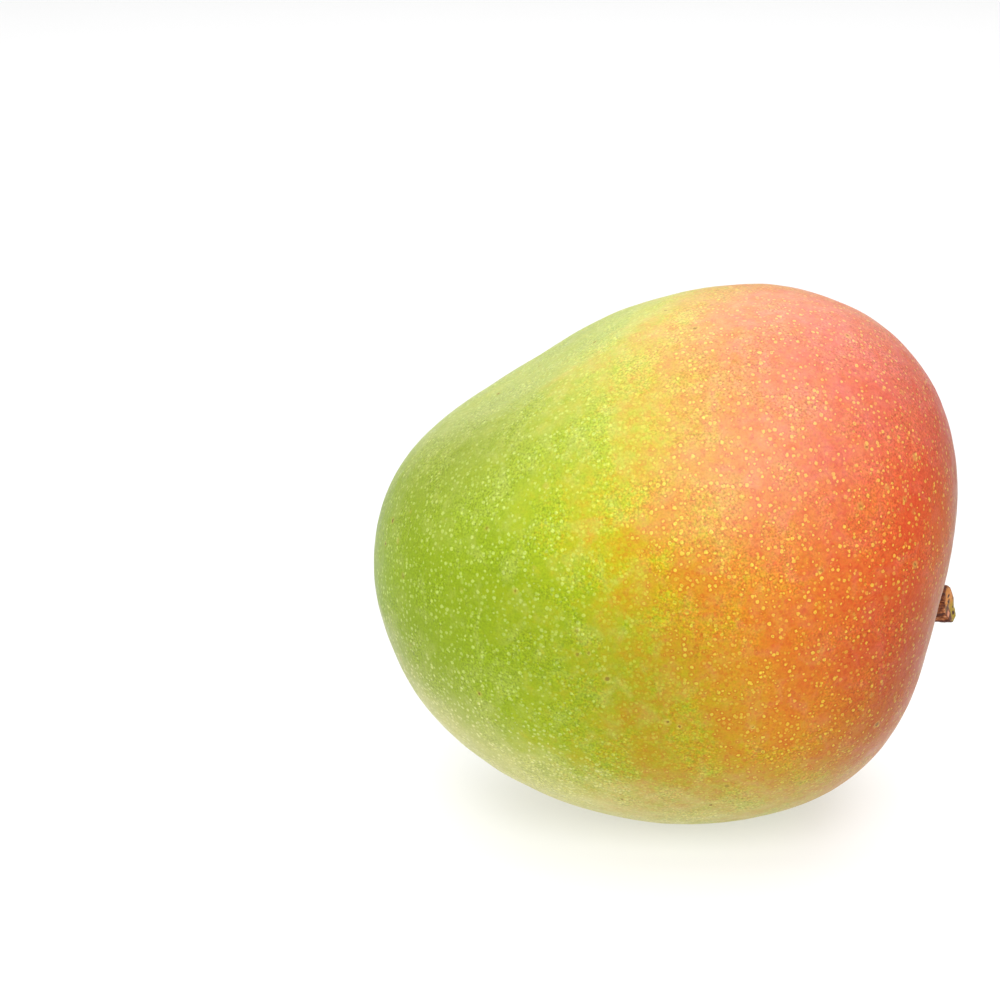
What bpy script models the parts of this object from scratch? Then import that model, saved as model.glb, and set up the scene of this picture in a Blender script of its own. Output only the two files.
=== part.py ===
"""A mango as picked, lying on a table: the fruit, and its cut stem standing in the hollow at the stem end.

Metres, +Z up. The fruit lies along X with its stem end towards +X. Its two flatter cheeks face -Y and +Y,
its front edge, with the high shoulder and the dip before the tip, is uppermost, and its back edge is on
the table. The origin is on the table, under the middle of the whole.
"""

import math

import bmesh
import bpy
from mathutils import Matrix, Vector, noise

MM = 0.001

# The fruit without its swellings and hollows: an ellipsoid, a little squarer than a true one
HALF_LENGTH = 56.8 * MM
HALF_THICKNESS = 45.5 * MM
HALF_DEPTH = 51.9 * MM
LONG_AXIS_LEAN = math.radians(-2.7)
SQUARENESS = 2.15
STEM_END_FULLNESS = 0.06

# Each swelling or hollow: degrees up from the stem end in the upright plane, degrees turned out of that
# plane towards the far cheek, its spread in degrees, and how far it lifts the skin
SWELLINGS = {
    "high_shoulder": (52, -6, 23, 6.0 * MM),
    "low_shoulder": (-45, 4, 24, 0.7 * MM),
    "back": (-127, 4, 21, -2.1 * MM),
    "tip": (163, 3, 19, 3.4 * MM),
    "dip_before_tip": (133, 0, 25, -10.6 * MM),
    "stem_end": (-12, 0, 19, -7.1 * MM),
    "stem_hollow": (-11.5, 0, 7, -1.7 * MM),
}
CHEEK_UNEVENNESS = 0.9 * MM
UNEVEN_PATCHES = 2.1

# The facets of the fruit, closer together round the stem hollow than at the tip
SEGMENTS = 72
RINGS = 56
CROWDING = 0.4

# The small flat spot that the fruit rests on
FLAT_SPOT_SINK = 1.0 * MM

# The stem, along its own axis from its foot, with the cut across it
STEM_POINTS_DOWN = math.radians(1)
STEM_FOOT_BELOW_SKIN = 1.6 * MM
STEM_OUTLINE = (
    (0.0 * MM, 4.3 * MM),
    (1.6 * MM, 4.3 * MM),
    (2.4 * MM, 4.1 * MM),
    (3.4 * MM, 3.8 * MM),
    (4.8 * MM, 3.6 * MM),
    (6.4 * MM, 3.6 * MM),
    (8.0 * MM, 3.7 * MM),
    (9.6 * MM, 3.65 * MM),
    (12.0 * MM, 3.6 * MM),
)
STEM_SIDES = 36
STEM_RIDGES = 7
STEM_RIDGE_HEIGHT = 0.12 * MM
STEM_ROUGHNESS = 0.22 * MM
CUT_HEIGHT = 9.2 * MM
CUT_FACES_UP = 0.21
CUT_FACES_FRONT = 0.32
PITH_RADIUS = 1.1 * MM
PITH_DEPTH = 0.25 * MM
SEAT_GAP = 0.3 * MM

SKIN_COLOUR = (0.83, 0.36, 0.09, 1.0)
BARK_COLOUR = (0.13, 0.06, 0.025, 1.0)


def clear_scene():
    for obj in list(bpy.data.objects):
        bpy.data.objects.remove(obj)


def plain_material(name, colour, roughness):
    material = bpy.data.materials.new(name)
    material.use_nodes = True
    shader = material.node_tree.nodes["Principled BSDF"]
    shader.inputs["Base Color"].default_value = colour
    shader.inputs["Roughness"].default_value = roughness
    shader.inputs["Metallic"].default_value = 0.0
    return material


def new_object(name, bm, material):
    mesh = bpy.data.meshes.new(name)
    bm.to_mesh(mesh)
    bm.free()
    mesh.shade_smooth()
    mesh.set_sharp_from_angle(angle=math.radians(32))
    mesh.materials.append(material)
    obj = bpy.data.objects.new(name, mesh)
    bpy.context.scene.collection.objects.link(obj)
    return obj


def direction(up_degrees, turn_degrees=0.0):
    """The unit vector so many degrees up from +X, then turned towards the far cheek, +Y."""
    up = math.radians(up_degrees)
    turn = math.radians(turn_degrees)
    return Vector((math.cos(up) * math.cos(turn), math.sin(turn), math.sin(up) * math.cos(turn)))


def skin_radius(way):
    """How far the skin is from the fruit's middle in the direction way, a unit vector."""
    along = way.x * math.cos(LONG_AXIS_LEAN) + way.z * math.sin(LONG_AXIS_LEAN)
    above = way.z * math.cos(LONG_AXIS_LEAN) - way.x * math.sin(LONG_AXIS_LEAN)
    half_thickness = HALF_THICKNESS * (1 + STEM_END_FULLNESS * along)
    shares = (along / HALF_LENGTH, way.y / half_thickness, above / HALF_DEPTH)
    radius = sum(abs(share) ** SQUARENESS for share in shares) ** (-1 / SQUARENESS)
    for up, turn, spread, lift in SWELLINGS.values():
        away = way.angle(direction(up, turn)) / math.radians(spread)
        radius += lift * math.exp(-away * away / 2)
    return radius + CHEEK_UNEVENNESS * way.y * noise.noise(way * UNEVEN_PATCHES)


def stem_frame():
    """The place and turn of the stem: its foot is under the skin of the hollow, and its Z runs along it."""
    up, turn, _, _ = SWELLINGS["stem_hollow"]
    way = direction(up, turn)
    skin = way * skin_radius(way)
    axis = Vector((math.cos(STEM_POINTS_DOWN), 0, -math.sin(STEM_POINTS_DOWN)))
    turned = axis.to_track_quat("Z", "Y").to_matrix().to_4x4()
    return Matrix.Translation(skin - axis * STEM_FOOT_BELOW_SKIN) @ turned


def flatten_foot(bm):
    """Cuts the fruit level, a little above its lowest point, and closes the cut with one flat face."""
    level = min(vertex.co.z for vertex in bm.verts) + FLAT_SPOT_SINK
    everything = bm.verts[:] + bm.edges[:] + bm.faces[:]
    cut = bmesh.ops.bisect_plane(
        bm,
        geom=everything,
        plane_co=(0, 0, level),
        plane_no=(0, 0, -1),
        clear_outer=True,
    )
    rim = [item for item in cut["geom_cut"] if isinstance(item, bmesh.types.BMEdge)]
    bmesh.ops.edgeloop_fill(bm, edges=rim)


def make_fruit(material):
    """The fruit's skin as one closed form, its rings of facets centred on the stem hollow."""
    bm = bmesh.new()
    bmesh.ops.create_uvsphere(bm, u_segments=SEGMENTS, v_segments=RINGS, radius=1.0)
    up, turn, _, _ = SWELLINGS["stem_hollow"]
    to_stem = direction(up, turn).to_track_quat("Z", "Y")
    for vertex in bm.verts:
        from_stem = math.acos(max(-1.0, min(1.0, vertex.co.z)))
        round_stem = math.atan2(vertex.co.y, vertex.co.x)
        from_stem -= CROWDING * math.sin(from_stem)
        ring = math.sin(from_stem)
        way = Vector((ring * math.cos(round_stem), ring * math.sin(round_stem), math.cos(from_stem)))
        way.rotate(to_stem)
        vertex.co = way * skin_radius(way)
    flatten_foot(bm)
    bmesh.ops.recalc_face_normals(bm, faces=bm.faces[:])
    return new_object("fruit", bm, material)


def cut_seat(fruit):
    """Sinks a plain round seat in the stem hollow, which leaves a thin gap round and under the stem."""
    seat_radius = STEM_OUTLINE[0][1] + STEM_RIDGE_HEIGHT + STEM_ROUGHNESS / 2 + SEAT_GAP
    seat_top = 12 * MM
    bm = bmesh.new()
    bmesh.ops.create_cone(
        bm,
        cap_ends=True,
        segments=STEM_SIDES,
        radius1=seat_radius,
        radius2=seat_radius,
        depth=seat_top + SEAT_GAP,
        matrix=Matrix.Translation((0, 0, (seat_top - SEAT_GAP) / 2)),
    )
    cutter = new_object("seat_cutter", bm, fruit.data.materials[0])
    cutter.matrix_world = stem_frame()
    cutter.hide_render = True
    cutter.display_type = "WIRE"
    seat = fruit.modifiers.new("seat", "BOOLEAN")
    seat.operation = "DIFFERENCE"
    seat.solver = "EXACT"
    seat.object = cutter
    return cutter


def bark_radius(radius, angle, height):
    """The stem's radius with its soft lengthwise ridges and its rough bark."""
    ridge = STEM_RIDGE_HEIGHT * math.cos(STEM_RIDGES * angle + 60 * height)
    spot = Vector((math.cos(angle) * 2.5, math.sin(angle) * 2.5, height / (3 * MM)))
    return radius + ridge + STEM_ROUGHNESS / 2 * noise.noise(spot)


def make_stem(material):
    """The stem stub: rings of bark drawn up from a wider foot, cut across at a slant, with its pith sunk."""
    bm = bmesh.new()
    rings = []
    for height, radius in STEM_OUTLINE:
        ring = []
        for side in range(STEM_SIDES):
            angle = 2 * math.pi * side / STEM_SIDES
            r = bark_radius(radius, angle, height)
            ring.append(bm.verts.new((r * math.cos(angle), r * math.sin(angle), height)))
        rings.append([bm.edges.new((ring[k - 1], ring[k])) for k in range(STEM_SIDES)])
    for lower, upper in zip(rings, rings[1:]):
        bmesh.ops.bridge_loops(bm, edges=lower + upper)
    bmesh.ops.edgeloop_fill(bm, edges=rings[0])
    cut_normal = Vector((-CUT_FACES_FRONT, CUT_FACES_UP, 1)).normalized()
    cut = bmesh.ops.bisect_plane(
        bm,
        geom=bm.verts[:] + bm.edges[:] + bm.faces[:],
        plane_co=(0, 0, CUT_HEIGHT),
        plane_no=cut_normal,
        clear_outer=True,
    )
    rim = [item for item in cut["geom_cut"] if isinstance(item, bmesh.types.BMEdge)]
    face = bmesh.ops.edgeloop_fill(bm, edges=rim)["faces"][0]
    bmesh.ops.inset_individual(bm, faces=[face], thickness=STEM_OUTLINE[-1][1] - PITH_RADIUS)
    for vertex in face.verts:
        vertex.co -= cut_normal * PITH_DEPTH
    bmesh.ops.recalc_face_normals(bm, faces=bm.faces[:])
    stem = new_object("stem", bm, material)
    stem.matrix_world = stem_frame()
    return stem


def stand_on_table(whole, pieces):
    """Moves the whole so that its box stands on the table with the middle of its base at the origin."""
    bpy.context.view_layer.update()
    corners = [piece.matrix_world @ vertex.co for piece in pieces for vertex in piece.data.vertices]
    low = Vector([min(corner[k] for corner in corners) for k in range(3)])
    high = Vector([max(corner[k] for corner in corners) for k in range(3)])
    whole.location = (-(low.x + high.x) / 2, -(low.y + high.y) / 2, -low.z)


def main():
    clear_scene()
    fruit = make_fruit(plain_material("skin", SKIN_COLOUR, 0.42))
    stem = make_stem(plain_material("bark", BARK_COLOUR, 0.8))
    cutter = cut_seat(fruit)
    whole = bpy.data.objects.new("mango", None)
    bpy.context.scene.collection.objects.link(whole)
    for piece in (fruit, stem, cutter):
        piece.parent = whole
    stand_on_table(whole, (fruit, stem))


main()
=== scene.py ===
# %% [markdown]
# # A ripening mango
#
# This lesson dresses one mango. Its measured solids come in as a fixed frame: a fruit and the short stub of
# its cut stem. They carry the sizes, and they stay where they are. Over them go two finer pieces, a skin
# and a stub of woody stem, with colours that are worked out by node patterns and not by pictures.

# %% The frame
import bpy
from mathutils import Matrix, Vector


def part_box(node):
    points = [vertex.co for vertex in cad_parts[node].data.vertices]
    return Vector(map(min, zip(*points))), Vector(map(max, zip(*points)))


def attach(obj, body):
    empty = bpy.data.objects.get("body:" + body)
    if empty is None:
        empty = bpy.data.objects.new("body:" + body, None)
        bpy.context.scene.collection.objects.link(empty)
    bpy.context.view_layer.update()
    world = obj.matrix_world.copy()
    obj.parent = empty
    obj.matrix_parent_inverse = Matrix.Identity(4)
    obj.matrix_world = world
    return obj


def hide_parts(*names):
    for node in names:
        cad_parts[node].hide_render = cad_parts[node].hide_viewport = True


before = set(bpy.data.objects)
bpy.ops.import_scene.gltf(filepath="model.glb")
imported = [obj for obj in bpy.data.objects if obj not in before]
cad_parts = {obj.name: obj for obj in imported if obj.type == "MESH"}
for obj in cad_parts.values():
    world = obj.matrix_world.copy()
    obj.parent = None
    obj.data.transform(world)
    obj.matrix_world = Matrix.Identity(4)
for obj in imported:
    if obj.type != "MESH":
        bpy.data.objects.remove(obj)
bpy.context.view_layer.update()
print("solids:", ", ".join(sorted(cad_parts)))

# %% Tools and units
import math
import random

import bpy
from mathutils import Matrix, Vector

MM = 0.001


def in_mm(lengths):
    """These lengths in millimetres, rounded for printing."""
    return [round(length / MM, 2) for length in lengths]


# %% [markdown]
# ## Reading places off the solids
#
# The stem solid tells where the stem stands and how long it is, so nothing is placed by eye. Its box runs
# from the foot, sunk in the fruit, to the lip of the slanting cut. The stem leans down by one degree, so
# its axis is taken from the middle of the box.

# %% Where the stem stands
STEM_LEAN = math.radians(1)
stem_low, stem_high = (Vector(corner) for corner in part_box("stem"))
stem_axis = Vector((math.cos(STEM_LEAN), 0, -math.sin(STEM_LEAN)))
stem_middle = (stem_low + stem_high) / 2
stem_foot = stem_middle - stem_axis * (stem_high.x - stem_low.x) / 2
print("stem foot, mm:", in_mm(stem_foot))


# %% [markdown]
# ## Small helpers for modelling by hand
#
# Blender's editing operators act on whatever is selected, and loading the frame leaves the solids selected.
# So each step starts by deselecting everything, and faces or points are picked by where they are. A script
# marks what is selected in object mode, and the operators use it in edit mode, so each pick goes through
# both.

# %% Helpers for selecting
def work_on(piece):
    """Makes piece the only selected object, and the active one."""
    if bpy.context.object and bpy.context.object.mode != "OBJECT":
        bpy.ops.object.mode_set(mode="OBJECT")
    bpy.ops.object.select_all(action="DESELECT")
    piece.select_set(True)
    bpy.context.view_layer.objects.active = piece


def pick_none(piece, kind):
    """Sets piece to be picked by this kind of part, VERT or FACE, with none of its parts picked yet."""
    work_on(piece)
    bpy.ops.object.mode_set(mode="EDIT")
    bpy.ops.mesh.select_mode(type=kind)
    bpy.ops.mesh.select_all(action="DESELECT")
    bpy.ops.object.mode_set(mode="OBJECT")


def pick_points(piece, wanted):
    """Opens piece for editing with only the points selected for which wanted(place) is true."""
    pick_none(piece, "VERT")
    for point in piece.data.vertices:
        point.select = wanted(point.co)
    bpy.ops.object.mode_set(mode="EDIT")


def pick_faces(piece, wanted):
    """Opens piece for editing with only the faces selected for which wanted(middle, normal) is true."""
    pick_none(piece, "FACE")
    for face in piece.data.polygons:
        face.select = wanted(face.center, face.normal)
    bpy.ops.object.mode_set(mode="EDIT")


def any_face(middle, normal):
    """A test that picks every face."""
    return True


# %% Helpers for finishing a piece
def finish_with(piece, kind, **settings):
    """Adds a modifier of this kind to piece with these settings, and applies it."""
    work_on(piece)
    modifier = piece.modifiers.new(kind.lower(), kind)
    for name, value in settings.items():
        setattr(modifier, name, value)
    bpy.ops.object.modifier_apply(modifier=modifier.name)


def settle(piece):
    """Moves piece's place, turn and size into its mesh, so that the object itself sits at the origin."""
    work_on(piece)
    bpy.ops.object.transform_apply(location=True, rotation=True, scale=True)


# %% [markdown]
# ## The form to wrap
#
# The fruit solid has the right form, but it is made of flat facets and has a round seat sunk in it for the
# stem. A copy of it serves as a guide: its loose triangles are merged, the seat's walls are taken out, and
# the hole is closed, so that the skin can pass under the stem without a pit.

# %% A guide with no seat
SEAT_REACH = 4.95 * MM
MERGE = 0.01 * MM


def from_stem_axis(place):
    """How far place is from the line through the middle of the stem."""
    away = Vector(place) - stem_foot
    return (away - stem_axis * away.dot(stem_axis)).length


guide = bpy.data.objects.new("guide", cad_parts["fruit"].data.copy())
bpy.context.scene.collection.objects.link(guide)
pick_faces(guide, any_face)
bpy.ops.mesh.remove_doubles(threshold=MERGE)
pick_faces(guide, lambda middle, normal: from_stem_axis(middle) < SEAT_REACH and middle.x > 0)
bpy.ops.mesh.delete(type="FACE")
bpy.ops.mesh.select_all(action="SELECT")
bpy.ops.mesh.fill_holes(sides=0)
work_on(guide)
print("guide faces:", len(guide.data.polygons))

# %% [markdown]
# ## The skin
#
# A ball made of rings has a pinch at each end, where the small shine of a fruit's skin would show it. A
# cube whose faces are divided finely and rounded to a ball has none, and its faces stay nearly square all
# over. The ball is larger than the fruit, and Shrinkwrap lets each point fall straight in until it meets
# the guide.

# %% A ball of small squares, wrapped onto the guide
FIRST_CUTS = 63
BALL_SIZE = 140 * MM
_, fruit_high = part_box("fruit")
ball_middle = Vector((0, 0, fruit_high.z / 2))
bpy.ops.object.select_all(action="DESELECT")
bpy.ops.mesh.primitive_cube_add(size=BALL_SIZE, location=ball_middle)
skin = bpy.context.object
skin.name = skin.data.name = "mango_skin"
settle(skin)
bpy.ops.object.mode_set(mode="EDIT")
bpy.ops.mesh.select_all(action="SELECT")
bpy.ops.mesh.subdivide(number_cuts=FIRST_CUTS)
bpy.ops.mesh.subdivide(number_cuts=1)
bpy.ops.transform.tosphere(value=1)
finish_with(
    skin,
    "SHRINKWRAP",
    target=guide,
    wrap_method="PROJECT",
    use_negative_direction=True,
    use_positive_direction=False,
)
print("skin faces:", len(skin.data.polygons), "size, mm:", in_mm(skin.dimensions))

# %% [markdown]
# The wrapped skin still repeats the guide's facets. Smoothing spreads each bend over its neighbours: some
# tens of rounds reach just past a facet's width, which melts the facets and leaves the shoulder, the dip
# and the stem hollow as they were.

# %% Melting the facets
SMOOTHING_ROUNDS = 45
finish_with(skin, "SMOOTH", factor=0.5, iterations=SMOOTHING_ROUNDS)
bpy.data.objects.remove(guide)
print("lowest point of the skin, mm:", round(min(point.co.z for point in skin.data.vertices) / MM, 3))

# %% [markdown]
# ## What growing did to the skin
#
# Real skin isn't evenly taut. Round the stem it is drawn into a low lip, with short furrows that run out
# from it, and at the tip there is a small scar where the flower's pistil sat. Each is made by pulling a few
# points with proportional editing, which takes the near ones along and leaves the far ones alone.


# %% Helpers for pulling the skin
def near(middle, radius):
    """A test that is true of the places within radius of middle."""
    return lambda place: (place - middle).length < radius


def pull(piece, wanted, way, reach):
    """Moves the points for which wanted(place) is true by way, and takes along what is within reach."""
    pick_points(piece, wanted)
    bpy.ops.transform.translate(
        value=way,
        use_proportional_edit=True,
        proportional_edit_falloff="SMOOTH",
        proportional_size=reach,
    )
    work_on(piece)


def meet(piece, start, way):
    """The outermost place on piece, and its normal there, on the line that leaves start along way."""
    _, place, normal, _ = piece.ray_cast(start + way * BALL_SIZE, -way)
    return place, normal


# %% The lip round the stem
LIP_RADIUS = 5.0 * MM
LIP_HALF_WIDTH = 0.4 * MM
LIP_HEIGHT = 0.55 * MM
LIP_REACH = 1.9 * MM


def near_lip(place):
    """True of the places on the ring where the lip is highest."""
    return abs(from_stem_axis(place) - LIP_RADIUS) < LIP_HALF_WIDTH and place.x > 0


pull(skin, near_lip, stem_axis * LIP_HEIGHT, LIP_REACH)
print("lip of", in_mm([LIP_HEIGHT]), "mm at", in_mm([LIP_RADIUS]), "mm from the stem's axis")

# %% [markdown]
# A furrow is three pulls inwards in a row, each a little shallower than the one before. The furrows stand
# round the stem at nearly even turns. Where each one stands, how long and how deep it is comes from seeded
# random draws, so they look grown and still come out the same each time.

# %% The furrows round the stem
FURROWS = 9
FURROW_PULLS = 3
FURROW_START = 0.6 * MM
FURROW_HALF_WIDTH = 0.6 * MM
FURROW_DEPTH = 0.42 * MM
FURROW_REACH = 1.7 * MM
SHALLOWER = 0.3
draw = random.Random(4)
side_way = stem_axis.cross(Vector((0, 0, 1))).normalized()
for furrow in range(FURROWS):
    turn = 2 * math.pi * (furrow + draw.uniform(-0.3, 0.3)) / FURROWS
    out = Matrix.Rotation(turn, 3, stem_axis) @ side_way
    length = draw.uniform(1.5, 4.5) * MM
    for step in range(FURROW_PULLS):
        along = LIP_RADIUS + FURROW_START + length * step / (FURROW_PULLS - 1)
        place, normal = meet(skin, stem_foot + out * along, stem_axis)
        depth = FURROW_DEPTH * (1 - SHALLOWER * step) * draw.uniform(0.6, 1.1)
        pull(skin, near(place, FURROW_HALF_WIDTH), -normal * depth, FURROW_REACH)
print("furrows:", FURROWS)

# %% [markdown]
# The scar at the tip is a low broad mound with a small pit in its middle, so it takes one pull outwards and
# one pull inwards at the same place. Ray cast finds that place on the skin from the way it lies in, so the
# scar sits on the skin whatever the skin's form.

# %% The scar at the tip
SCAR_WAY = Vector((-0.86, 0.44, 0.26)).normalized()
SCAR_PULLS = (
    # in millimetres: how near its middle, how far out or in, and how far round it the skin comes along
    (1.2, 0.4, 6),
    (0.5, -0.4, 1.4),
)
scar_place, scar_normal = meet(skin, ball_middle, SCAR_WAY)
for radius, lift, reach in SCAR_PULLS:
    pull(skin, near(scar_place, radius * MM), scar_normal * lift * MM, reach * MM)
print("scar at, mm:", in_mm(scar_place))

# %% [markdown]
# The cheeks are a little uneven to the touch. A cloud texture pushes the skin in and out by a few tenths of
# a millimetre, in broad patches and then in small ones. The patches are far wider than the squares of the
# mesh, so they are real shape, and the finer pores are left to the material. The flat spot is then made
# level again.


# %% Uneven cheeks
UNEVENNESS = (
    # the texture's name, its patches, and how far it pushes in all
    ("broad", 16 * MM, 0.5 * MM),
    ("small", 4 * MM, 0.09 * MM),
)
ON_TABLE = 0.03 * MM


def push_in_and_out(piece, name, patch, strength):
    """Pushes piece in and out by a cloud texture in patches of this size."""
    clouds = bpy.data.textures.new(name, type="CLOUDS")
    clouds.noise_scale = patch
    clouds.noise_depth = 1
    finish_with(piece, "DISPLACE", texture=clouds, texture_coords="LOCAL", strength=strength)


for name, patch, strength in UNEVENNESS:
    push_in_and_out(skin, name, patch, strength)
pick_points(skin, lambda co: co.z < ON_TABLE)
bpy.ops.transform.resize(value=(1, 1, 0), center_override=(0, 0, 0))
work_on(skin)
bpy.ops.object.shade_smooth()
print("skin size, mm:", in_mm(skin.dimensions))

# %% [markdown]
# ## The cut stem
#
# What is left of the stem is a woody stub, wider where it leaves the fruit, cracked along its length, and
# cut across at a slant. It starts as a ring of points at the foot of the stem solid. Each extrusion adds a
# ring further out, and resizing it gives the stub its waist. Loose rings are the quickest way to a shape
# that changes along its length.

# %% Rings of bark
STEM_SIDES = 72
FOOT_RADIUS = 4.7 * MM
STEM_RINGS = (
    # how far along the stem from its foot, and the radius there
    (1.2 * MM, 4.75 * MM),
    (2.0 * MM, 4.6 * MM),
    (2.6 * MM, 4.15 * MM),
    (3.4 * MM, 3.85 * MM),
    (4.4 * MM, 3.65 * MM),
    (5.4 * MM, 3.6 * MM),
    (6.4 * MM, 3.65 * MM),
    (12.0 * MM, 3.65 * MM),
)
bpy.ops.object.select_all(action="DESELECT")
bpy.ops.mesh.primitive_circle_add(vertices=STEM_SIDES, radius=FOOT_RADIUS, fill_type="NGON")
stub = bpy.context.object
stub.name = stub.data.name = "stem_stub"
bpy.ops.object.mode_set(mode="EDIT")
bpy.ops.mesh.select_all(action="SELECT")
height, radius = 0.0, FOOT_RADIUS
for next_height, next_radius in STEM_RINGS:
    bpy.ops.mesh.extrude_region_move(TRANSFORM_OT_translate={"value": (0, 0, next_height - height)})
    share = next_radius / radius
    bpy.ops.transform.resize(value=(share, share, 1), center_override=(0, 0, next_height))
    height, radius = next_height, next_radius
bpy.ops.mesh.select_all(action="SELECT")
bpy.ops.mesh.normals_make_consistent(inside=False)
bpy.ops.object.mode_set(mode="OBJECT")
print("stub faces:", len(stub.data.polygons))

# %% [markdown]
# The knife went through at a slant: the cut looks up a little, and towards the near cheek. Bisect cuts the
# stub with a plane, throws away what is past it and fills the opening. Five insets then shape the cut from
# its rim inwards: the bark, two rings of wood, the edge of the pith, and the pith, which has dried and
# sunk.

# %% The slanting cut
CUT_HEIGHT = 8.95 * MM
CUT_FACES_UP = 0.2
CUT_FACES_FRONT = 0.38
CUT_INSETS = (
    # in millimetres: how far inwards, and how far up or down
    (0.35, -0.08),
    (0.9, 0.06),
    (0.9, 0.0),
    (0.35, -0.18),
    (0.6, -0.05),
)
cut_normal = Vector((-CUT_FACES_FRONT, CUT_FACES_UP, 1)).normalized()
cut_middle = Vector((0, 0, CUT_HEIGHT))


def on_cut(middle, normal):
    """True of the face that fills the cut: it lies in the cut's plane, and faces the same way."""
    return normal.dot(cut_normal) > 0.999 and abs((middle - cut_middle).dot(cut_normal)) < 0.05 * MM


pick_faces(stub, any_face)
bpy.ops.mesh.bisect(plane_co=cut_middle, plane_no=cut_normal, use_fill=True, clear_outer=True)
pick_faces(stub, on_cut)
for inwards, rise in CUT_INSETS:
    bpy.ops.mesh.inset(thickness=inwards * MM, depth=rise * MM)
bpy.ops.mesh.poke()
work_on(stub)
print("stub faces:", len(stub.data.polygons))

# %% [markdown]
# Bark splits along the stem as it dries, and at the foot it spreads into low lobes that grip the fruit.
# Cracks are narrow lengthwise columns of points drawn in towards the axis. Lobes are wider columns near the
# foot, drawn out. The stub still stands upright on its own axis here, so both are plain resizes about the
# middle. The knife also tore the cut's lower lip, and one last pull leaves that lip standing out.

# %% Cracks, lobes and the torn lip
CRACKS = 11
LOBES = 5
LOBE_TOP = 2.3 * MM
BARK_INNER_RADIUS = 3.0 * MM
TORN_LIP_PULL = Vector((0, -0.15, 0.4)) * MM
TORN_LIP_REACH = 1.6 * MM


def reshape_column(turn, half_width, low, high, share):
    """Draws the bark that faces turn, from low to high along the stub, to this share of its radius."""

    def inside(co):
        off = (math.atan2(co.y, co.x) - turn + math.pi) % (2 * math.pi) - math.pi
        return abs(off) < half_width and low < co.z < high and co.xy.length > BARK_INNER_RADIUS

    pick_points(stub, inside)
    bpy.ops.transform.resize(value=(share, share, 1), center_override=(0, 0, 0))


for crack in range(CRACKS):
    turn = 2 * math.pi * (crack + draw.uniform(-0.35, 0.35)) / CRACKS
    half_width = math.radians(draw.uniform(3, 5))
    low, high = draw.uniform(0, 4) * MM, draw.uniform(6, 11) * MM
    reshape_column(turn, half_width, low, high, draw.uniform(0.86, 0.93))
for lobe in range(LOBES):
    turn = 2 * math.pi * (lobe + draw.uniform(-0.3, 0.3)) / LOBES
    half_width = math.radians(draw.uniform(14, 22))
    reshape_column(turn, half_width, -1 * MM, LOBE_TOP, draw.uniform(1.04, 1.09))
pull(stub, lambda co: co.y < -2.6 * MM and co.z > 8.5 * MM, TORN_LIP_PULL, TORN_LIP_REACH)
print("cracks:", CRACKS, "lobes:", LOBES)

# %% [markdown]
# The stub is now turned to lie along the stem's axis and set down on the stem's foot. Two rounds of
# Subdivision Surface round off its steps, and a fine cloud texture makes the bark knobbly.

# %% Standing the stub in its hollow
KNOB_SIZE = 1.3 * MM
KNOB_HEIGHT = 0.3 * MM
stub.rotation_mode = "QUATERNION"
stub.rotation_quaternion = stem_axis.to_track_quat("Z", "Y")
stub.location = stem_foot
settle(stub)
finish_with(stub, "SUBSURF", levels=2, render_levels=2)
push_in_and_out(stub, "knobbly", KNOB_SIZE, KNOB_HEIGHT)
print("stub size, mm:", in_mm(stub.dimensions))

# %% [markdown]
# ## Helpers for patterns
#
# A material is a small network of nodes. Noise and cell textures are worked out in space from the Object
# coordinates, which are the piece's own places in metres. They are turned into millimetres first, so that
# every size below can be read as a size on the fruit. Colours are written as they look on a screen, from 0
# to 255, and changed to the plain amounts of light that a shader counts in.


# %% Helpers for colours and nodes
def paint(red, green, blue):
    """A colour as it looks on a screen, from 0 to 255, in the shader's amounts of light."""
    shares = (red / 255, green / 255, blue / 255)
    light = [share / 12.92 if share <= 0.04045 else ((share + 0.055) / 1.055) ** 2.4 for share in shares]
    return (*light, 1.0)


def add(tree, kind, sockets, **settings):
    """Adds a node. Each of its sockets gets a plain value, or is linked to another node's output."""
    node = tree.nodes.new("ShaderNode" + kind)
    for name, value in settings.items():
        setattr(node, name, value)
    for socket, value in sockets.items():
        if isinstance(value, bpy.types.NodeSocket):
            tree.links.new(value, node.inputs[socket])
        else:
            node.inputs[socket].default_value = value
    return node


def start_material(name, **sockets):
    """A material with these values on its shader, and its places in millimetres."""
    material = bpy.data.materials.new(name)
    material.use_nodes = True
    tree = material.node_tree
    shader = tree.nodes["Principled BSDF"]
    for socket, value in sockets.items():
        shader.inputs[socket.replace("_", " ")].default_value = value
    metres = add(tree, "TexCoord", {}).outputs["Object"]
    place = add(tree, "VectorMath", {0: metres, "Scale": 1 / MM}, operation="SCALE").outputs[0]
    return material, tree, shader, place


# %% Helpers for sums and soft steps
def maths(tree, operation, first, second=0.0):
    return add(tree, "Math", {0: first, 1: second}, operation=operation).outputs[0]


def plus(tree, first, second):
    return maths(tree, "ADD", first, second)


def times(tree, first, second):
    return maths(tree, "MULTIPLY", first, second)


def fade(tree, value, start, end, low=0.0, high=1.0):
    """Goes softly from low to high as value goes from start to end."""
    sockets = {"Value": value, "From Min": start, "From Max": end, "To Min": low, "To Max": high}
    return add(tree, "MapRange", sockets, interpolation_type="SMOOTHSTEP").outputs["Result"]


# %% Helpers for places
def distance(tree, place, middle):
    """How far each place is from middle, in millimetres."""
    return add(tree, "VectorMath", {0: place, 1: middle}, operation="DISTANCE").outputs["Value"]


def length_of(tree, vector):
    return add(tree, "VectorMath", {0: vector}, operation="LENGTH").outputs["Value"]


def facing(tree, way):
    """How squarely the surface faces way, from 1 where it faces it to -1 where it faces the other way."""
    normal = add(tree, "TexCoord", {}).outputs["Normal"]
    return add(tree, "VectorMath", {0: normal, 1: way}, operation="DOT_PRODUCT").outputs["Value"]


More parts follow.
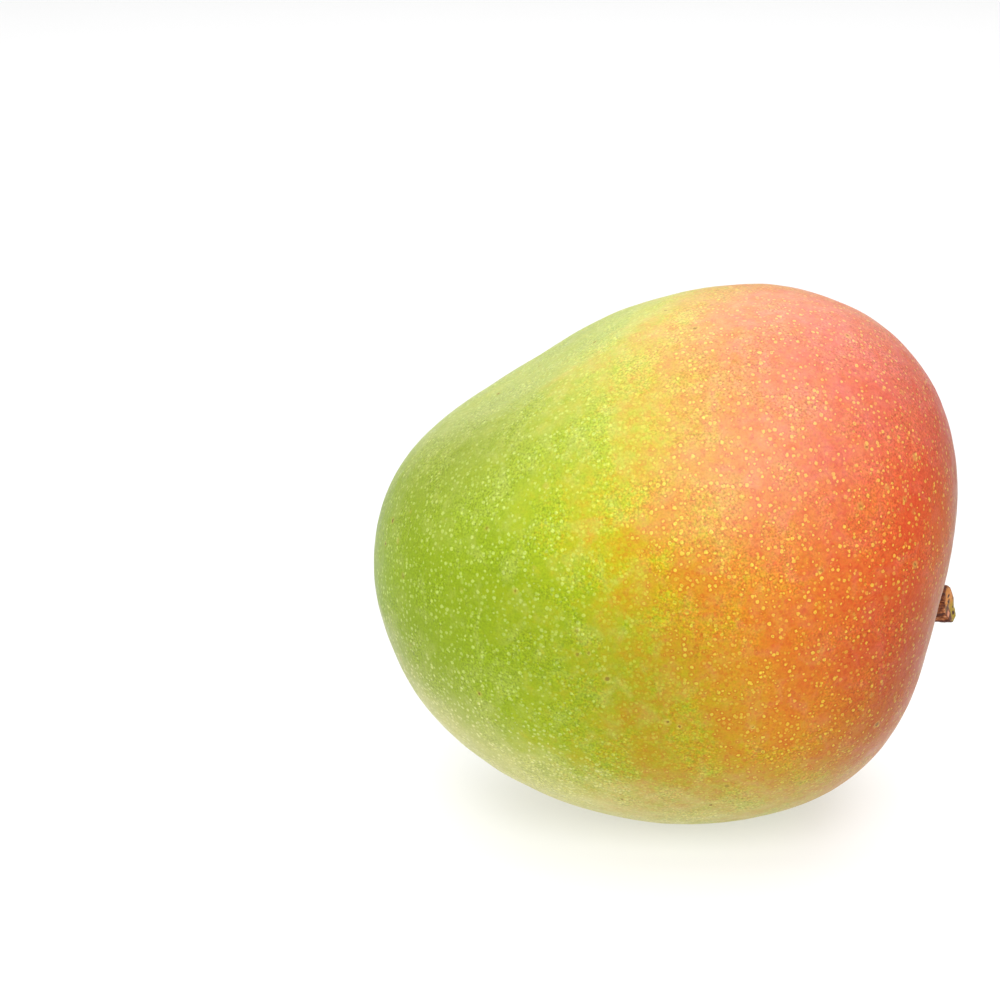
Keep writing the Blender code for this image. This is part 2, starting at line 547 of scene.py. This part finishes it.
# %% Helpers for noise
def cloud(tree, place, patch, detail=2.0, distortion=0.0):
    """Noise from about 0.2 to 0.8 in patches of that many millimetres."""
    sockets = {"Vector": place, "Scale": 1 / patch, "Detail": detail, "Distortion": distortion}
    return add(tree, "TexNoise", sockets).outputs[0]


def sway(tree, place, patch, reach, detail=2.0):
    """Noise that adds up to reach, or takes away as much."""
    return times(tree, maths(tree, "SUBTRACT", cloud(tree, place, patch, detail), 0.5), 2 * reach)


def ragged_distance(tree, place, middle, patch, reach):
    """The distance from middle, swayed by up to reach in patches of this size, which gives ragged rings."""
    return plus(tree, distance(tree, place, middle), sway(tree, place, patch, reach, detail=3.0))


# %% Helpers for laying on colour
def cover(tree, amount, under, over, way="MIX"):
    """Lays the colour over onto the colour under, by amount."""
    return add(tree, "Mix", {0: amount, 6: under, 7: over}, data_type="RGBA", blend_type=way).outputs[2]


def brighten(tree, colour, share):
    """Multiplies a colour by share, below 1 to darken it, which keeps its hue."""
    grey = add(tree, "CombineColor", {0: share, 1: share, 2: share}).outputs["Color"]
    return cover(tree, 1.0, colour, grey, "MULTIPLY")


def colours_along(tree, value, stops):
    """A ramp through (value, colour) stops."""
    low, high = stops[0][0], stops[-1][0]
    share = add(tree, "MapRange", {"Value": value, "From Min": low, "From Max": high}).outputs["Result"]
    ramp = add(tree, "ValToRGB", {"Fac": share})
    elements = ramp.color_ramp.elements
    while len(elements) < len(stops):
        elements.new(0.5)
    for element, (at, colour) in zip(elements, stops):
        element.position = (at - low) / (high - low)
        element.color = colour
    return ramp.outputs["Color"]


def stained(tree, place, under, stains):
    """Lays ragged stains over a colour, each from where it starts inwards to where it is full."""
    for middle, (patch, reach), (start, full), amount, colour in stains:
        away = ragged_distance(tree, place, middle, patch, reach)
        under = cover(tree, fade(tree, away, start, full, 0.0, amount), under, colour)
    return under


def raise_relief(tree, shader, height, strength, depth):
    """Shades the surface as if it stood out where height is larger, by up to depth."""
    bump = add(tree, "Bump", {"Height": height, "Strength": strength, "Distance": depth})
    tree.links.new(bump.outputs["Normal"], shader.inputs["Normal"])


# %% [markdown]
# ## How ripe each place is
#
# A mango doesn't turn colour all at once. The shoulder that had the sun goes first, and green holds out
# longest at the far end. One number can carry all of that: the distance from the middle of the blush. It is
# worked out for each place on the skin, in millimetres, and everything below is written as a push on that
# one number. A few patches ripen sooner or later than their neighbours, and two broad noises break the
# bands up into clouds and blotches.

# %% The ripeness of the skin
BLUSH_MIDDLE = Vector((61, -19, 68))
EARLY_AND_LATE = (
    # middle of the patch, its reach, and how many millimetres it lags behind its neighbours
    (Vector((-14, -40, 78)), 26, 3),
    (Vector((14, -18, 100)), 30, -2),
    (Vector((30, -20, 98)), 24, -6),
    (Vector((-18, -32, 86)), 22, 6),
    (Vector((38, -32, 46)), 20, -8),
    (Vector((-14, 6, 104)), 26, 14),
    (Vector((-38, -28, 62)), 30, 6),
    (Vector((-16, -28, 10)), 40, -13),
    (Vector((30, -34, 12)), 24, 6),
    (Vector((-2, 44, 60)), 28, -12),
    (Vector((-13, -38, 54)), 15, 7),
    (Vector((-5, -43, 75)), 12, -5),
    (Vector((3, -30, 28)), 13, -4),
    (Vector((-24, -38, 72)), 13, -4),
    (Vector((20, -42, 74)), 26, 2),
)
CLOUDS_AND_BLOTCHES = ((26, 7), (8, 12))


def ripeness(tree, place):
    """The distance from the blush, pushed to and fro. Small numbers are red, and large ones green."""
    total = distance(tree, place, BLUSH_MIDDLE)
    for middle, reach, lag in EARLY_AND_LATE:
        total = plus(tree, total, fade(tree, distance(tree, place, middle), reach, 0, 0, lag))
    for patch, reach in CLOUDS_AND_BLOTCHES:
        total = plus(tree, total, sway(tree, place, patch, reach))
    return total


print("early and late patches:", len(EARLY_AND_LATE))

# %% [markdown]
# ## Lenticels
#
# The pale dots are lenticels, the pores that a fruit breathes through. A Voronoi texture sets one point in
# each cell of space, and a dot shows wherever the skin passes near enough to a point. Dots cut nearer their
# edge come out smaller, so the sizes vary as the real ones do. Each cell's own random colour decides how
# large and how pale its dot is, and whether it has one at all. A real pore isn't a clean disc, so each
# place is moved a little by noise before the cells are read.


# %% Dots of one kind
CORKED = 0.1


def shaken(tree, place, patch, reach):
    """Each place, moved a little, so that a round form gets an uneven edge."""
    noise = add(tree, "TexNoise", {"Vector": place, "Scale": 1 / patch, "Detail": 1.0}).outputs["Color"]
    off = add(tree, "VectorMath", {0: noise, 1: (0.5, 0.5, 0.5)}, operation="SUBTRACT").outputs[0]
    off = add(tree, "VectorMath", {0: off, "Scale": 2 * reach}, operation="SCALE").outputs[0]
    return add(tree, "VectorMath", {0: place, 1: off}, operation="ADD").outputs[0]


def lenticels(tree, place, spacing, radius, share_kept):
    """How much of a lenticel there is at each place, of the soft ring round it and of a corked core."""
    uneven = shaken(tree, place, 0.5, radius * 0.5)
    sockets = {"Vector": uneven, "Scale": 1 / spacing, "Randomness": 0.8}
    cells = add(tree, "TexVoronoi", sockets, feature="F1")
    away = times(tree, cells.outputs["Distance"], spacing)
    own = add(tree, "SeparateColor", {"Color": cells.outputs["Color"]})
    size = fade(tree, own.outputs[0], 0, 1, radius * 0.7, radius * 1.12)
    strength = fade(tree, own.outputs[1], 0, share_kept, 1.0, 0.35)
    kept = times(tree, strength, maths(tree, "LESS_THAN", own.outputs[1], share_kept))
    nearness = maths(tree, "DIVIDE", away, size)
    dot = times(tree, fade(tree, nearness, 1.0, 0.6), kept)
    ring = times(tree, fade(tree, nearness, 1.9, 1.1), kept)
    has_cork = maths(tree, "LESS_THAN", own.outputs[2], CORKED)
    core = times(tree, fade(tree, nearness, 0.5, 0.2), times(tree, kept, has_cork))
    return dot, ring, core


print("lenticels with a corked core, in a hundred:", round(CORKED * 100))

# %% [markdown]
# ## The skin material
#
# The skin's wax is thin, so its shader reflects little: a low index of refraction and a trace of a second,
# sharper coat. The lenticels come before the colours, because they push the ripeness too. There are two
# kinds. On the shoulder they sit a little further apart, where the skin has stretched most, and nearly all
# of them show. On the green end they sit closer, and more of them stay hidden.

# %% The lenticels of the skin
SHOULDER_DOTS = {"spacing": 1.05, "radius": 0.41, "share_kept": 0.92}
GREEN_END_DOTS = {"spacing": 0.95, "radius": 0.42, "share_kept": 0.8}
skin_material, tree, shader, place = start_material(
    "mango_skin", IOR=1.2, Coat_Weight=0.04, Coat_Roughness=0.15
)
ripe = ripeness(tree, place)
on_shoulder = fade(tree, ripe, 88, 64)
on_green_end = maths(tree, "SUBTRACT", 1.0, on_shoulder)
shoulder_dots, rings, cores = lenticels(tree, place, **SHOULDER_DOTS)
green_end_dots, _, _ = lenticels(tree, place, **GREEN_END_DOTS)
shoulder_dots = times(tree, shoulder_dots, on_shoulder)
green_end_dots = times(tree, green_end_dots, on_green_end)
dots = maths(tree, "MAXIMUM", shoulder_dots, green_end_dots)
rings = times(tree, rings, on_shoulder)
cores = times(tree, cores, on_shoulder)
print("nodes so far:", len(tree.nodes))

# %% [markdown]
# A lenticel stays yellower than the skin round it, and the blush gathers in a faint ring about it. Two
# finer noises add spots and single specks, and the specks are stronger in some rough patches than in
# others. All of these push the ripeness, so one ramp of colours, from deep red-orange to green, paints
# ground, blotches and dots in one go.

# %% Ground colours
RIPE_COLOURS = (
    (18, paint(194, 74, 34)),
    (32, paint(194, 92, 38)),
    (46, paint(193, 109, 32)),
    (56, paint(192, 124, 30)),
    (64, paint(187, 137, 30)),
    (72, paint(180, 152, 22)),
    (80, paint(168, 166, 26)),
    (89, paint(150, 166, 24)),
    (100, paint(138, 160, 24)),
    (116, paint(134, 158, 24)),
)
DOT_LAG = 10
RING_LEAD = 6
rough = fade(tree, cloud(tree, place, 8, detail=3.0), 0.42, 0.6, 0.5, 1.5)
specked = times(tree, sway(tree, place, 0.6, 13, detail=3.0), rough)
spotted = plus(tree, ripe, sway(tree, place, 2.2, 12))
spotted = plus(tree, spotted, specked)
dotted = plus(tree, spotted, times(tree, dots, DOT_LAG))
ringed = maths(tree, "SUBTRACT", dotted, times(tree, rings, RING_LEAD))
ground = colours_along(tree, ringed, RIPE_COLOURS)
print("nodes so far:", len(tree.nodes))

# %% [markdown]
# Where the blush is strongest it isn't smooth. It gathers in fine flecks, which are the peaks of a small
# noise, and in short winding streaks. A streak is the narrow band where a larger, distorted noise crosses
# its own middle value, and a third noise lets the streaks show in some patches only.

# %% Flecks and streaks of the blush
DEEP_RED = paint(176, 50, 24)
flecks = fade(tree, cloud(tree, place, 0.8, detail=3.0), 0.52, 0.66)
winding = cloud(tree, place, 4, detail=3.0, distortion=1.5)
off_middle = maths(tree, "ABSOLUTE", maths(tree, "SUBTRACT", winding, 0.5))
in_patches = fade(tree, cloud(tree, place, 12), 0.46, 0.56)
streaks = times(tree, fade(tree, off_middle, 0.03, 0.008), in_patches)
marked = maths(tree, "MAXIMUM", flecks, streaks)
deeper = times(tree, marked, fade(tree, ripe, 68, 34, 0.0, 0.48))
ground = cover(tree, deeper, ground, DEEP_RED)
print("nodes so far:", len(tree.nodes))

# %% [markdown]
# Round the stem and on the near cheek below the blush the red is broken by a dull tan. Each stain is full
# near its middle and fades out with a ragged edge. Over the ground go the faint red rings, the paler dots,
# and the brown cores of the few lenticels that have corked.

# %% Tan stains and the paint of the lenticels
TAN_STAINS = (
    # middle, patch and reach of the ragged edge, where it starts and is full, how much, and its colour
    (stem_foot / MM, (7, 8), (32, 12), 0.7, paint(180, 112, 42)),
    (Vector((56, -14, 54)), (6, 6), (30, 8), 0.55, paint(186, 116, 42)),
)
RING_RED = paint(168, 68, 20)
CORK_BROWN = paint(112, 72, 26)
DOT_COLOURS = (
    (30, paint(216, 178, 64)),
    (55, paint(218, 194, 60)),
    (75, paint(212, 206, 68)),
    (92, paint(186, 204, 100)),
)
ground = stained(tree, place, ground, TAN_STAINS)
ground = cover(tree, times(tree, rings, 0.32), ground, RING_RED)
skin_colour = cover(tree, times(tree, dots, 0.75), ground, colours_along(tree, ripe, DOT_COLOURS))
skin_colour = cover(tree, times(tree, cores, 0.5), skin_colour, CORK_BROWN)
print("nodes so far:", len(tree.nodes))

# %% [markdown]
# The colour isn't equally deep all over, and most of this is painted light and shade: broad patches are
# a little lighter where more light falls, most of all in a broad shine on the near shoulder, and deeper
# where shade falls, on the lower middle, the right-hand side by the stem and the far top edge, whatever
# their ripeness. A little of it is the skin's own uneven depth of colour. The ramp alone can't do that,
# since one ripeness has one colour there. So each patch adds to or takes from a painted shading, which the
# colour is then multiplied by.

# %% Painted light and shade
PAINTED_LIGHT_AND_SHADE = (
    # middle of the patch, its reach, and the share by which it is lighter or deeper
    (Vector((20, -40, 76)), 45, 0.14),
    (Vector((-22, -38, 72)), 35, 0.10),
    (Vector((-10, -45, 42)), 28, -0.20),
    (Vector((-30, -40, 55)), 22, -0.12),
    (Vector((0, -30, 15)), 34, -0.16),
    (Vector((36, -28, 22)), 26, -0.20),
    (Vector((48, -22, 46)), 24, -0.16),
    (Vector((40, -32, 42)), 26, -0.14),
    (Vector((58, -12, 68)), 24, -0.30),
    (Vector((-26, -28, 88)), 22, -0.08),
    (Vector((-40, -12, 80)), 24, -0.24),
    (Vector((-54, -12, 52)), 16, 0.14),
    (Vector((52, -10, 92)), 26, -0.10),
)
painted_shading = 1.0
for middle, reach, change in PAINTED_LIGHT_AND_SHADE:
    here = fade(tree, distance(tree, place, middle), reach, 0, 0, change)
    painted_shading = plus(tree, painted_shading, here)
# Painted light and shade: the skin colour is multiplied by the lighter and deeper patches.
skin_colour = brighten(tree, skin_colour, painted_shading)
print("light and deep patches:", len(PAINTED_LIGHT_AND_SHADE))

# %% [markdown]
# Over the skin lies a pale veil, and most of it is painted light: a painted sheen on the sides that face
# up, where the lamps above shine on the skin, a painted reflection of the pale floor on the sides that face
# down, and one painted highlight on the near cheek. A noise mottles it. Thin wisps of real wax bloom lie
# over the rest. Its paint is pinkish over the red, and yellow-green over the green, as a pale veil over
# such colours looks.

# %% Painted sheen and bloom
UP = Vector((0, 0, 1))
PAINTED_HIGHLIGHT_MIDDLE = Vector((17, -40, 82))
SHEEN_AND_BLOOM_COLOURS = (
    (55, paint(224, 164, 176)),
    (72, paint(218, 204, 145)),
    (90, paint(206, 206, 130)),
)
facing_up = facing(tree, UP)
# Painted sheen on the sides that face up and down, and a painted highlight on the near cheek.
painted_sheen = plus(tree, fade(tree, facing_up, 0.1, 1.0, 0, 0.22), fade(tree, facing_up, -0.35, -0.8, 0, 0.24))
painted_sheen = plus(tree, painted_sheen, fade(tree, distance(tree, place, PAINTED_HIGHLIGHT_MIDDLE), 30, 0, 0, 0.1))
painted_sheen = times(tree, painted_sheen, plus(tree, 1.0, sway(tree, place, 2.5, 0.6, detail=3.0)))
# Real wax bloom: thin wisps, most over the green.
wisps = cloud(tree, place, 5, detail=3.0, distortion=1.0)
wisps = fade(tree, wisps, 0.45, 0.72, 0.0, fade(tree, ripe, 66, 86, 0.05, 0.13))
sheen_and_bloom = plus(tree, painted_sheen, wisps)
# Lays the painted sheen and highlight, with the wisps of bloom, over the skin colour.
skin_colour = cover(tree, sheen_and_bloom, skin_colour, colours_along(tree, ripe, SHEEN_AND_BLOOM_COLOURS))
print("nodes so far:", len(tree.nodes))

# %% [markdown]
# The lower side is painted pale, with paler dots, as a painted reflection of the bright floor beneath, and
# a faint painted reflection lies along the far top edge. Both follow the way that the skin faces, from the
# piece's own Normal, so they belong to the fruit and stay where they are from every side.

# %% Painted reflections on the lower side and the far edge
FLOOR_REFLECTION_WAY = Vector((-0.5, -0.15, -0.85))
FLOOR_REFLECTION_PALE = paint(216, 208, 142)
FLOOR_REFLECTION_DOTS = paint(232, 226, 170)
FAR_EDGE_REFLECTION_WAY = Vector((-0.53, 0.25, 0.81))
FAR_EDGE_REFLECTION_PALE = paint(226, 222, 180)
# Painted reflection of the floor: the skin and its dots are made pale where they face down and to the near
# left.
floor_reflection = plus(tree, facing(tree, FLOOR_REFLECTION_WAY), sway(tree, place, 5, 0.12, detail=4.0))
skin_colour = cover(tree, fade(tree, floor_reflection, 0.55, 1.0, 0, 0.72), skin_colour, FLOOR_REFLECTION_PALE)
dots_in_floor_reflection = times(tree, green_end_dots, fade(tree, floor_reflection, 0.5, 0.8, 0.0, 0.4))
skin_colour = cover(tree, dots_in_floor_reflection, skin_colour, FLOOR_REFLECTION_DOTS)
# Painted reflection along the far top edge.
far_edge_reflection = fade(tree, facing(tree, FAR_EDGE_REFLECTION_WAY), 0.87, 0.98, 0, 0.16)
skin_colour = cover(tree, far_edge_reflection, skin_colour, FAR_EDGE_REFLECTION_PALE)
print("nodes so far:", len(tree.nodes))

# %% [markdown]
# Fine grain keeps any patch from being one flat colour: a small noise makes the skin a little brighter or
# darker, more so in the rough patches.

# %% Grain
grain = times(tree, sway(tree, place, 0.4, 0.5, detail=3.0), rough)
skin_colour = brighten(tree, skin_colour, plus(tree, 1.0, grain))
print("nodes so far:", len(tree.nodes))

# %% [markdown]
# The marks come last, as they do on the tree: a few brown specks with a pale halo where a pore has corked
# over, russet where the skin dips to the stem, and the dark scar at the tip. The specks are lenticels
# again, only far apart, and their soft ring serves as the halo.

# %% Specks, russet and scar
SPECKS = {"spacing": 5.5, "radius": 0.5, "share_kept": 0.7}
SPECK_BROWN = paint(104, 60, 26)
SPECK_HALO = paint(196, 176, 84)
RUSSET_MIDDLE = stem_foot + stem_axis * 4 * MM
MARKS = (
    # middle, patch and reach of the ragged edge, where it starts and is full, how much, and its colour
    (RUSSET_MIDDLE / MM, (1.2, 1.0), (9, 5), 0.6, paint(150, 96, 46)),
    (scar_place / MM, (1.2, 1.0), (1.5, 0.8), 1.0, paint(92, 60, 34)),
)
specks, halos, _ = lenticels(tree, place, **SPECKS)
skin_colour = cover(tree, times(tree, halos, 0.4), skin_colour, SPECK_HALO)
skin_colour = cover(tree, times(tree, specks, 0.8), skin_colour, SPECK_BROWN)
skin_colour = stained(tree, place, skin_colour, MARKS)
tree.links.new(skin_colour, shader.inputs["Base Color"])
print("nodes so far:", len(tree.nodes))

# %% [markdown]
# The shine of wax over pores is soft but not even. The roughness wanders a little, and a bump of pores with
# slightly raised lenticels blurs the reflections the way the real skin does. A trace of light passes under
# the surface, more red than blue, which keeps the shaded side warm.

# %% Shine, pores and depth
GLOSSIEST, DULLEST = 0.3, 0.42
PORE_SIZE = 0.8
PORE_DEPTH = 0.25 * MM
shader.inputs["Subsurface Weight"].default_value = 0.1
shader.inputs["Subsurface Scale"].default_value = 2 * MM
shader.inputs["Subsurface Radius"].default_value = (1.0, 0.45, 0.15)
roughness = fade(tree, cloud(tree, place, 3), 0.25, 0.75, GLOSSIEST, DULLEST)
tree.links.new(roughness, shader.inputs["Roughness"])
pores = plus(tree, cloud(tree, place, PORE_SIZE, detail=3.0), times(tree, dots, 0.4))
raise_relief(tree, shader, pores, 0.28, PORE_DEPTH)
skin.data.materials.append(skin_material)
print("nodes in the skin material:", len(tree.nodes))

# %% [markdown]
# ## Bark
#
# The stub's bark has dried dark and cracked along its length, with paler patches where it has flaked. Its
# fibres are one noise, stretched along the stem by a Mapping node, and the flakes are another, even all
# ways. One larger flake has come off on the near side, just behind the cut.

# %% The bark material
BARK_COLOURS = (
    (0.38, paint(48, 20, 10)),
    (0.49, paint(92, 42, 20)),
    (0.57, paint(148, 86, 44)),
    (0.65, paint(210, 146, 106)),
)
STRETCH = (0.3, 1, 1)
FLAKE_MIDDLE = stem_foot + stem_axis * 7.9 * MM + Vector((0, -3.4, -0.2)) * MM
bark_material, tree, shader, place = start_material("stem_bark", Roughness=0.75, IOR=1.4)
lengthwise = add(tree, "Mapping", {"Vector": place, "Scale": STRETCH}).outputs[0]
fibres = cloud(tree, lengthwise, 0.55, detail=4.0)
flakes = cloud(tree, place, 2.2, detail=3.0)
weathered = plus(tree, times(tree, fibres, 0.45), times(tree, flakes, 0.55))
from_flake = ragged_distance(tree, place, FLAKE_MIDDLE / MM, 1.2, 1.0)
weathered = plus(tree, weathered, fade(tree, from_flake, 1.0, 0.6, 0.0, 0.14))
tree.links.new(colours_along(tree, weathered, BARK_COLOURS), shader.inputs["Base Color"])
raise_relief(tree, shader, fibres, 0.9, 0.3 * MM)
print("nodes in the bark material:", len(tree.nodes))

# %% [markdown]
# ## Cut wood
#
# The cut is brown at the pith and at the rim, and tan between them, so its colours are a ramp along the
# distance from the pith. Its lower part hasn't dried and is still yellow-green. A flap of bark, torn by the
# knife, lies over its near side.

# %% The cut wood
CUT_COLOURS = (
    (0.3, paint(150, 92, 44)),
    (0.8, paint(208, 138, 66)),
    (2.3, paint(208, 130, 52)),
    (3.1, paint(196, 122, 40)),
    (3.6, paint(118, 64, 26)),
)
STILL_GREEN = paint(150, 138, 36)
FLAP_OFF_MIDDLE = Vector((-0.55, -2.0, -1.3))
FLAP_COLOURS = (
    (0.4, paint(214, 142, 106)),
    (0.7, paint(120, 58, 30)),
    (1.2, paint(70, 32, 16)),
    (1.9, paint(134, 80, 38)),
)
cut_turn = stem_axis.to_track_quat("Z", "Y")
cut_place = stem_foot + cut_turn @ cut_middle
cut_material, tree, shader, place = start_material("stem_cut", Roughness=0.6, IOR=1.4)
from_pith = plus(tree, distance(tree, place, cut_place / MM), sway(tree, place, 0.8, 0.4))
wood = colours_along(tree, from_pith, CUT_COLOURS)
level = add(tree, "SeparateXYZ", {"Vector": place}).outputs["Z"]
low_down = fade(tree, plus(tree, level, sway(tree, place, 1.5, 1.2)), 42, 39.5)
wood = cover(tree, times(tree, low_down, 0.8), wood, STILL_GREEN)
from_flap = ragged_distance(tree, place, cut_place / MM + FLAP_OFF_MIDDLE, 0.9, 0.9)
wood = cover(tree, fade(tree, from_flap, 2.0, 1.7), wood, colours_along(tree, from_flap, FLAP_COLOURS))
print("nodes so far:", len(tree.nodes))

# %% [markdown]
# Sap wells out of a fresh cut and dries dark in drops of different sizes. Each drop is a small ball round a
# place on the cut, found by ray cast. The drops are smeared, so the ball is stretched to twice its length
# along the stem and from front to back. Fine grain goes over all of it, as colour and as relief.

# %% Sap and grain on the cut
SAP = paint(70, 34, 14)
SAP_DROPS = (
    # how far back and up from the middle of the cut, in millimetres, and how large
    (0.0, 1.45, 1.15),
    (0.1, 0.4, 1.2),
    (1.6, -1.2, 0.8),
    (2.4, 0.3, 0.6),
    (0.9, -2.2, 1.1),
)
SMEARED = (0.5, 0.5, 1.0)
WOOD_GRAIN = paint(120, 80, 36)
for back, up, size in SAP_DROPS:
    drop, _ = meet(stub, cut_place + Vector((0, back, up)) * MM, stem_axis)
    off = add(tree, "VectorMath", {0: place, 1: drop / MM}, operation="SUBTRACT").outputs[0]
    off = add(tree, "VectorMath", {0: off, 1: SMEARED}, operation="MULTIPLY").outputs[0]
    away = plus(tree, length_of(tree, off), sway(tree, place, 0.5, 0.2))
    wood = cover(tree, fade(tree, away, 0.42 * size, 0.24 * size), wood, SAP)
grain = cloud(tree, place, 0.25, detail=3.0)
wood = cover(tree, fade(tree, grain, 0.5, 0.7, 0.0, 0.4), wood, WOOD_GRAIN)
tree.links.new(wood, shader.inputs["Base Color"])
raise_relief(tree, shader, grain, 0.5, 0.1 * MM)
print("nodes in the cut wood material:", len(tree.nodes))

# %% [markdown]
# One piece can wear two materials. Every face starts with the first, the bark. The faces that look nearly
# the way the cut does, and are near enough to the stem's axis, are picked and given the second.

# %% Which faces are bark and which are cut wood
CUT_RADIUS = 3.5 * MM
FACING_LIKE_CUT = 0.7
for material in (bark_material, cut_material):
    stub.data.materials.append(material)
cut_way = cut_turn @ cut_normal
pick_faces(
    stub,
    lambda middle, normal: normal.dot(cut_way) > FACING_LIKE_CUT and from_stem_axis(middle) < CUT_RADIUS,
)
stub.active_material_index = 1
bpy.ops.object.material_slot_assign()
work_on(stub)
bpy.ops.object.shade_smooth()
print("cut wood faces:", sum(face.material_index == 1 for face in stub.data.polygons))

# %% [markdown]
# ## The floor
#
# The fruit lies on a plain pale floor, which also throws light back up under it, so that the lower edge
# stays pale. A white studio ground shows no dark edge and hardly a shadow. A lit floor alone would need far
# more light for that, which would bleach the fruit, so the floor glows a little of its own. The glow is
# strongest under the fruit. It fades further out to the front and the sides, but not straight behind the
# fruit.

# %% The floor
FLOOR_SIZE = 8
FLOOR_GREY = (0.45, 0.45, 0.45, 1)
WHITE = (1, 1, 1, 1)
GLOW_SHIFT = 30
LONGER_BEHIND = 0.3
bpy.ops.object.select_all(action="DESELECT")
bpy.ops.mesh.primitive_plane_add(size=FLOOR_SIZE, location=(0, 0, 0))
floor = bpy.context.object
floor.name = "floor"
floor_material, tree, shader, place = start_material("plain_floor", Roughness=0.9)
shader.inputs["Base Color"].default_value = FLOOR_GREY
shader.inputs["Emission Color"].default_value = WHITE
split = add(tree, "SeparateXYZ", {"Vector": place})
aside = plus(tree, split.outputs[0], GLOW_SHIFT)
behind = maths(tree, "MAXIMUM", split.outputs[1], 0.0)
in_front = maths(tree, "MINIMUM", split.outputs[1], 0.0)
away = length_of(tree, add(tree, "CombineXYZ", {0: aside, 1: in_front}).outputs[0])
away = maths(tree, "SUBTRACT", away, times(tree, behind, LONGER_BEHIND))
round_fruit = fade(tree, away, 320, 130, 0.14, 0.34)
under_fruit = fade(tree, length_of(tree, place), 160, 50, 0.0, 0.18)
tree.links.new(plus(tree, round_fruit, under_fruit), shader.inputs["Emission Strength"])
floor.data.materials.append(floor_material)
print("floor, m:", FLOOR_SIZE)

# %% [markdown]
# ## The light
#
# Soft light comes from large lamps. One hangs like a ceiling over everything, a weak one stands behind the
# fruit and lifts its far edge, and a smaller one in front spreads one broad shine over the shoulder. The
# world round them is a quiet grey, which fills the shade and leaves the near cheek its deep colour.


# %% The lamps
SOFT_LAMPS = (
    # name, place in metres, side of the square in metres, and power in watts
    ("ceiling_lamp", (0, 0.5, 1.9), 3, 48),
    ("back_lamp", (0, 0.8, 0.8), 1.0, 2.5),
    ("front_lamp", (0, -0.87, 0.73), 0.75, 10.8),
)
WORLD_STRENGTH = 0.45


def soft_lamp(name, place, size, power):
    """A square lamp that looks at the middle of the fruit."""
    bpy.ops.object.light_add(type="AREA", location=place)
    lamp = bpy.context.object
    lamp.name = name
    lamp.data.shape = "SQUARE"
    lamp.data.size = size
    lamp.data.energy = power
    lamp.rotation_euler = (ball_middle - Vector(place)).to_track_quat("-Z", "Y").to_euler()


for name, lamp_place, size, power in SOFT_LAMPS:
    soft_lamp(name, lamp_place, size, power)
world = bpy.data.worlds.new("plain_studio")
world.use_nodes = True
background = world.node_tree.nodes["Background"]
background.inputs["Color"].default_value = WHITE
background.inputs["Strength"].default_value = WORLD_STRENGTH
bpy.context.scene.world = world
bpy.context.scene.view_settings.view_transform = "Standard"

# %% [markdown]
# ## The camera
#
# The fruit is looked at from a little above, eighteen degrees, along its thin way. A long lens from half a
# metre keeps the outline nearly free of perspective. The point it is aimed at lies left of the fruit,
# because the fruit fills the right-hand part of the picture.

# %% The camera
LENS = 100
LOOKS_DOWN = math.radians(18)
CAMERA_DISTANCE = 537.5 * MM
AIM = Vector((-32.4, 3.6, 61.2)) * MM
NEAREST_SEEN = 10 * MM
look_way = Vector((0, math.cos(LOOKS_DOWN), -math.sin(LOOKS_DOWN)))
bpy.ops.object.camera_add(
    location=AIM - look_way * CAMERA_DISTANCE, rotation=(math.pi / 2 - LOOKS_DOWN, 0, 0)
)
camera = bpy.context.object
camera.name = "camera"
camera.data.lens = LENS
camera.data.clip_start = NEAREST_SEEN
bpy.context.scene.camera = camera
print("camera at, mm:", in_mm(camera.location))

# %% [markdown]
# ## Attaching the pieces
#
# Each new piece rides on the one body and stands for its solid, which is hidden.

# %% Attaching the pieces
for piece, node_name, slot_name in ((skin, "fruit", "skin"), (stub, "stem", "bark")):
    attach(piece, "root")
    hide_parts(node_name)
